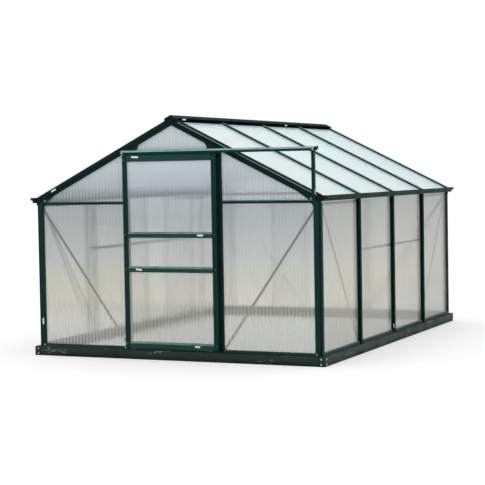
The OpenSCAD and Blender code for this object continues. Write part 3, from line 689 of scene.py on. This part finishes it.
def build_rafter_strips():
    """Strips in the rebates of the gable rafters: a painted highlight on the right-hand slope, painted
    shade on the left.
    """
    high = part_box("front_rafters")[1]
    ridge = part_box("ridge_end_caps")[1].x
    eave = high.x - RAFTER_STRIP_END_IN
    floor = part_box("front_panels")[0].y
    tilt = math.tan(SLOPE)
    slopes = ((1, "right_rafter_highlight_strips", RAFTER_HIGHLIGHT), (-1, "left_rafter_shade_strips", RAFTER_SHADE))
    for side, name, colour in slopes:
        shape = bmesh.new()
        for end in (1, -1):
            outlines = []
            for depth in (floor - RAFTER_STRIP_PROUD, floor + RAFTER_STRIP_SUNK):
                outline = []
                for x, lift in ((ridge, 0.0), (eave, 0.0), (eave, RAFTER_STRIP_THICK), (ridge, RAFTER_STRIP_THICK)):
                    z = high.z - x * tilt + lift / math.cos(SLOPE)
                    outline.append(Vector((side * x, end * depth, z)))
                outlines.append(outline)
            add_prism(shape, *outlines)
        bmesh.ops.recalc_face_normals(shape, faces=shape.faces)
        new_piece(name, mesh_from(shape, name), "house", soiled(name, colour))


def base_bolts():
    """Two bolts on each face of the base, beside every corner."""
    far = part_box("base_front")[0]
    middle = (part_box("base_front")[1].z + far.z) / 2
    places = []
    for sx in (-1, 1):
        for sy in (-1, 1):
            for rise in (-BASE_BOLT_HALF, BASE_BOLT_HALF):
                end = (sx * (-far.x - BASE_BOLT_IN), sy * -far.y, middle + rise)
                side = (sx * -far.x, sy * (-far.y - BASE_BOLT_IN), middle + rise)
                places += [(end, (0, sy, 0)), (side, (sx, 0, 0))]
    return places


def frame_bolts():
    """Bolts on both gables: at the gussets, and at the feet of the posts and of the jambs or studs."""
    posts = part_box("corner_posts")
    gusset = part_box("front_gussets")
    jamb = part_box("door_jambs")
    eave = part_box("front_eave_rails")
    foot = posts[0].z + FOOT_BOLT_RISE
    corner = eave[1].x - GUSSET_BOLT_IN
    places = []
    for sx in (-1, 1):
        for sy in (-1, 1):
            front = sy * -posts[0].y
            places.append(((sx * corner, sy * -gusset[0].y, eave[1].z + GUSSET_BOLT_RISE), (0, sy, 0)))
            places.append(((sx * (eave[1].x + POST_BOLT_OUT), front, foot), (0, sy, 0)))
            in_door_path = sx > 0 and sy < 0
            if not in_door_path:
                places.append(((sx * (jamb[1].x + JAMB_BOLT_OUT), front, foot), (0, sy, 0)))
    return places


def track_bolts():
    """A bolt at each end of the door track."""
    low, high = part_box("door_track")
    level = low.z + TRACK_BOLT_LEVEL * (high.z - low.z)
    return [((x, low.y, level), (0, -1, 0)) for x in (low.x + TRACK_BOLT_IN, high.x - TRACK_BOLT_IN)]


def door_bolts():
    """Screws where the rails of the door meet its stiles."""
    low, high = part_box("door_stiles")
    places = []
    for rail in solids_of("door_rails"):
        middle = sum(point.z for point in rail) / len(rail)
        for x in (low.x + SCREW_IN, high.x - SCREW_IN):
            places.append(((x, low.y, middle), (0, -1, 0)))
    return places


def brace_nuts():
    """Nuts on the inner faces of braces and straps, at both ends of each strip."""
    places = []
    for node, along in (("front_braces", X), ("back_braces", X), ("side_braces", Y), ("side_straps", Y)):
        for strip in solids_of(node):
            across = Y if along == X else X
            inner = min((point.dot(across) for point in strip), key=abs)
            inward = -across if inner > 0 else across
            reach = [point.dot(along) for point in strip]
            for end, step in ((min(reach), 1), (max(reach), -1)):
                near = [point for point in strip if abs(point.dot(along) - end) < STRIP_END]
                level = sum(point.z for point in near) / len(near)
                place = along * (end + step * NUT_IN) + across * inner + Z * level
                places.append((place, inward))
    return places


def build_bolts():
    """Every bolt, screw and nut of the house and of the door."""
    bright = zinc_steel("bright_zinc", BRIGHT_ZINC)
    dull = zinc_steel("dull_zinc", DULL_ZINC)
    bolts("base_bolts", "house", base_bolts(), bright)
    bolts("frame_bolts", "house", frame_bolts() + track_bolts(), bright)
    bolts("brace_nuts", "house", brace_nuts(), bright)
    bolts("door_screws", "door", door_bolts(), dull, SCREW_SIZE)


def build_stickers():
    """Blank stickers on the frame and on the door, as (place, normal, width, height, tilt)."""
    white = soiled("sticker_white", STICKER_WHITE)
    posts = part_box("corner_posts")[0]
    stud = min(solids_of("right_studs"), key=lambda points: abs(sum(point.y for point in points)))
    stud_out = max(point.x for point in stud)
    stud_front = min(point.y for point in stud)
    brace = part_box("front_braces")[0].y
    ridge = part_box("ridge_beam")[1].x
    track_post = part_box("track_post")[1]
    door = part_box("door_stiles")[0].y
    front = -Y
    right = X
    stickers("house_stickers", "house", [
        ((-1.059, posts.y, 1.3215), front, 0.046, 0.013, SLOPE),
        ((-1.1825, posts.y, 0.273), front, 0.012, 0.048, 0.0),
        ((ridge, -1.53, 1.855), right, 0.060, 0.010, 0.0),
        ((ridge, 0.52, 1.852), right, 0.050, 0.009, 0.0),
        ((track_post.x, -1.673, 1.288), right, 0.014, 0.034, 0.0),
        ((stud_out - 0.006, stud_front, 0.131), front, 0.009, 0.036, 0.0),
        ((-0.459, brace, 0.167), front, 0.022, 0.018, -0.9),
    ], white)
    stickers("door_stickers", "door", [
        ((-0.306, door, 1.572), front, 0.060, 0.014, -0.03),
        ((0.245, door, 0.967), front, 0.052, 0.013, 0.0),
        ((-0.288, door, 0.700), front, 0.052, 0.013, -0.12),
        ((0.206, door, 0.113), front, 0.044, 0.013, -0.05),
    ], white)


def place_camera():
    """The camera of the photograph."""
    ahead = Vector((
        math.sin(CAMERA_YAW) * math.cos(CAMERA_PITCH),
        math.cos(CAMERA_YAW) * math.cos(CAMERA_PITCH),
        math.sin(CAMERA_PITCH),
    ))
    level = Vector((math.cos(CAMERA_YAW), -math.sin(CAMERA_YAW), 0))
    upright = level.cross(ahead)
    right = math.cos(CAMERA_ROLL) * level + math.sin(CAMERA_ROLL) * upright
    up = math.cos(CAMERA_ROLL) * upright - math.sin(CAMERA_ROLL) * level
    data = bpy.data.cameras.new("camera")
    data.sensor_width = SENSOR
    data.lens = CAMERA_LENS
    data.clip_end = CAMERA_REACH
    camera = bpy.data.objects.new("camera", data)
    turn = Matrix((right, up, -ahead)).transposed().to_4x4()
    camera.matrix_world = Matrix.Translation(CAMERA_PLACE) @ turn
    bpy.context.scene.collection.objects.link(camera)
    bpy.context.scene.camera = camera


def seen_factor(tree):
    """1 for rays that show the background: from the camera, a mirror or a clear sheet."""
    path = tree.nodes.new("ShaderNodeLightPath")
    total = path.outputs["Is Camera Ray"]
    for output in ("Is Glossy Ray", "Is Transmission Ray"):
        node = tree.nodes.new("ShaderNodeMath")
        node.operation = "MAXIMUM"
        tree.links.new(total, node.inputs[0])
        tree.links.new(path.outputs[output], node.inputs[1])
        total = node.outputs[0]
    return total


def light_the_scene():
    """A soft overcast sky that is brighter overhead, on a white background."""
    world = bpy.data.worlds.new("world")
    bpy.context.scene.world = world
    world.use_nodes = True
    tree = world.node_tree
    background = tree.nodes["Background"]
    direction = tree.nodes.new("ShaderNodeTexCoord")
    split = tree.nodes.new("ShaderNodeSeparateXYZ")
    tree.links.new(direction.outputs["Generated"], split.inputs[0])
    sky = tree.nodes.new("ShaderNodeMapRange")
    tree.links.new(split.outputs["Z"], sky.inputs["Value"])
    sky.inputs["To Min"].default_value = SKY_LOW
    sky.inputs["To Max"].default_value = SKY_LOW + SKY_RISE
    strength = tree.nodes.new("ShaderNodeMix")
    tree.links.new(seen_factor(tree), strength.inputs["Factor"])
    tree.links.new(sky.outputs["Result"], strength.inputs["A"])
    strength.inputs["B"].default_value = 1.0
    tree.links.new(strength.outputs["Result"], background.inputs["Strength"])
    background.inputs["Color"].default_value = (1, 1, 1, 1)


def lay_floor():
    """A plain pale floor that keeps the shadow of the house."""
    mesh = bpy.data.meshes.new("floor")
    half = FLOOR_HALF
    corners = [(-half, -half, 0), (half, -half, 0), (half, half, 0), (-half, half, 0)]
    mesh.from_pydata(corners, [], [(0, 1, 2, 3)])
    floor = bpy.data.objects.new("floor", mesh)
    bpy.context.scene.collection.objects.link(floor)
    paint = Paint("floor", Roughness=0.9, Specular_IOR_Level=0.0)
    seen = seen_factor(paint.tree)
    grain = paint.ramp(paint.noise(3.0), list(zip((0.3, 0.7), FLOOR_SHADES)))
    paint.set("Base Color", paint.mix(seen, FLOOR_BOUNCE, grain))
    paint.set("Emission Color", (1.0, 1.0, 1.0))
    paint.set("Emission Strength", paint.math("MULTIPLY", seen, FLOOR_GLOW))
    mesh.materials.append(paint.material)


dress_frame()
build_sheets()
build_rafter_strips()
build_bolts()
build_stickers()
place_camera()
light_the_scene()
lay_floor()
bpy.context.scene.view_settings.view_transform = "Standard"
